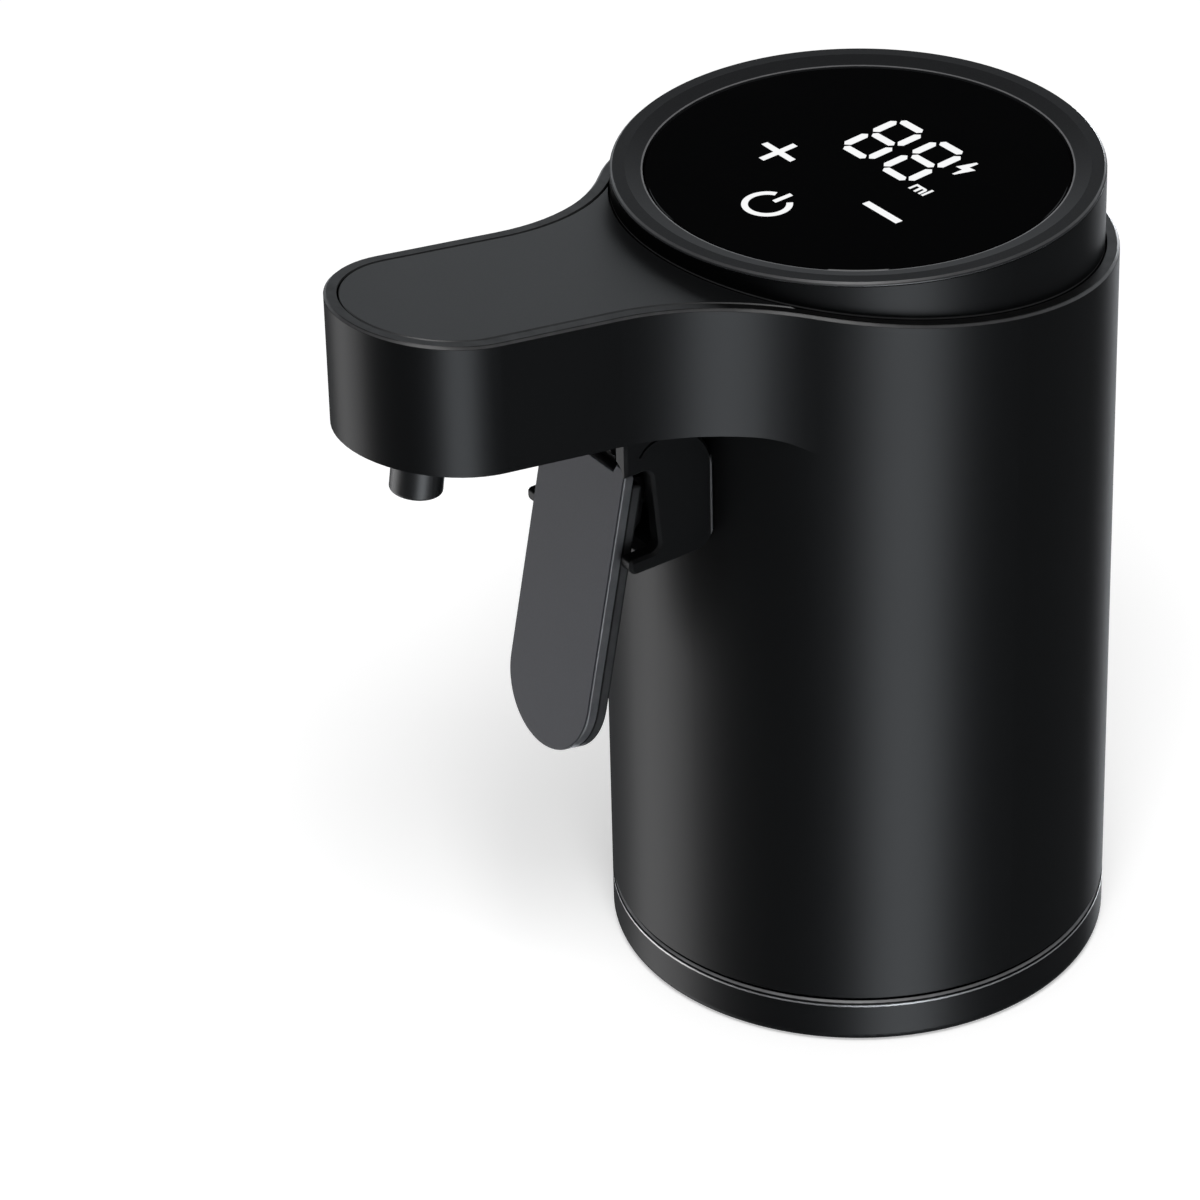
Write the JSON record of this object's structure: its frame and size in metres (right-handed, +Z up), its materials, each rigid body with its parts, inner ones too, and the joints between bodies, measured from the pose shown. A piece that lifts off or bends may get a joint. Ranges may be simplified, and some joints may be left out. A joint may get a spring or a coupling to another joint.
{
  "type": "wine preservation dispenser",
  "caption": "Battery wine dispenser that stands on a bottle neck: round sloped-top body, round touch display, flush arm with a nozzle, and a hinged paddle trigger under the arm.",
  "frame": {"origin": "on the axis of the round body, at the flat underside of the base ring", "axes": "+Z up along the body axis, -Y out along the arm towards the nozzle, +X to the right when the display is read"},
  "size_m": [0.066, 0.1099, 0.1167],
  "materials": {
    "shell_black": "fine matt texture",
    "cover_black": "smooth satin",
    "head_black": "satin",
    "bezel_black": "satin gloss",
    "display_black": "black printed glass, polished",
    "base_black": "fine matt texture",
    "yoke_black": "smooth satin",
    "paddle_front": "smooth satin",
    "paddle_rear": "smooth satin",
    "nozzle_black": "semi-gloss",
    "inner_grey": "as moulded",
    "food_white": "smooth",
    "silicone_grey": "soft matt",
    "hose_clear": "milky silicone",
    "seal_black": "soft matt",
    "tape_black": "foam tape",
    "board_green": "solder mask",
    "module_white": "smooth",
    "steel": "plain",
    "spring_steel": "drawn wire",
    "pump_black": "glass-filled",
    "nylon_white": "smooth",
    "cell_wrap": "shrink wrap"
  },
  "bodies": {
    "body": {"body_shell": "shell_black", "arm_cover": "cover_black", "head_drum": "head_black", "bezel_ring": "bezel_black", "display_glass": "display_black", "glass_tape": "tape_black", "control_board": "board_green", "board_screws": "steel", "digit_module": "module_white", "touch_springs": "spring_steel", "head_gasket": "seal_black", "base_ring": "base_black", "base_screws": "steel", "neck_guide": "inner_grey", "stopper_core": "food_white", "core_screws": "steel", "stopper_plug": "silicone_grey", "chassis": "inner_grey", "pump_head": "pump_black", "pump_diaphragm": "seal_black", "pump_frame": "pump_black", "pump_motor": "steel", "check_valve": "food_white", "bottle_hose": "hose_clear", "pump_hose": "hose_clear", "battery_cell": "cell_wrap", "battery_clip": "inner_grey", "charge_board": "board_green", "charge_socket": "steel", "nozzle": "nozzle_black", "nozzle_washer": "silicone_grey", "nozzle_nut": "steel", "nozzle_elbow": "food_white", "wine_hose": "hose_clear", "lever_housing": "yoke_black", "hinge_pin": "steel", "housing_screws": "steel", "trigger_switch": "pump_black", "return_spring": "spring_steel"},
    "paddle": {"paddle_face": "paddle_front", "paddle_frame": "paddle_rear"},
    "button": {"switch_plunger": "nylon_white"},
    "rotor": {"pump_crank": "nylon_white", "motor_shaft": "steel"}
  },
  "joints": [
    {"name": "paddle_hinge", "type": "hinge", "parent": "body", "child": "paddle", "pos_m": [0, -0.0394, 0.0886], "axis": [1, 0, 0], "range_deg": [0, 7], "stiffness_Nm_per_rad": 0.06, "springref_deg": -6.88, "deforming": ["return_spring"]},
    {"name": "trigger_slide", "type": "slide", "parent": "body", "child": "button", "axis": [0, 1, 0], "range_m": [0, 0.001]},
    {"name": "pump_spin", "type": "hinge", "parent": "body", "child": "rotor", "pos_m": [-0.013, 0.01, 0.07], "axis": [0, 0, 1], "continuous": true}
  ],
  "couplings": [
    {"joint": "trigger_slide", "follows": "paddle_hinge", "m_per_rad": 0.008}
  ]
}
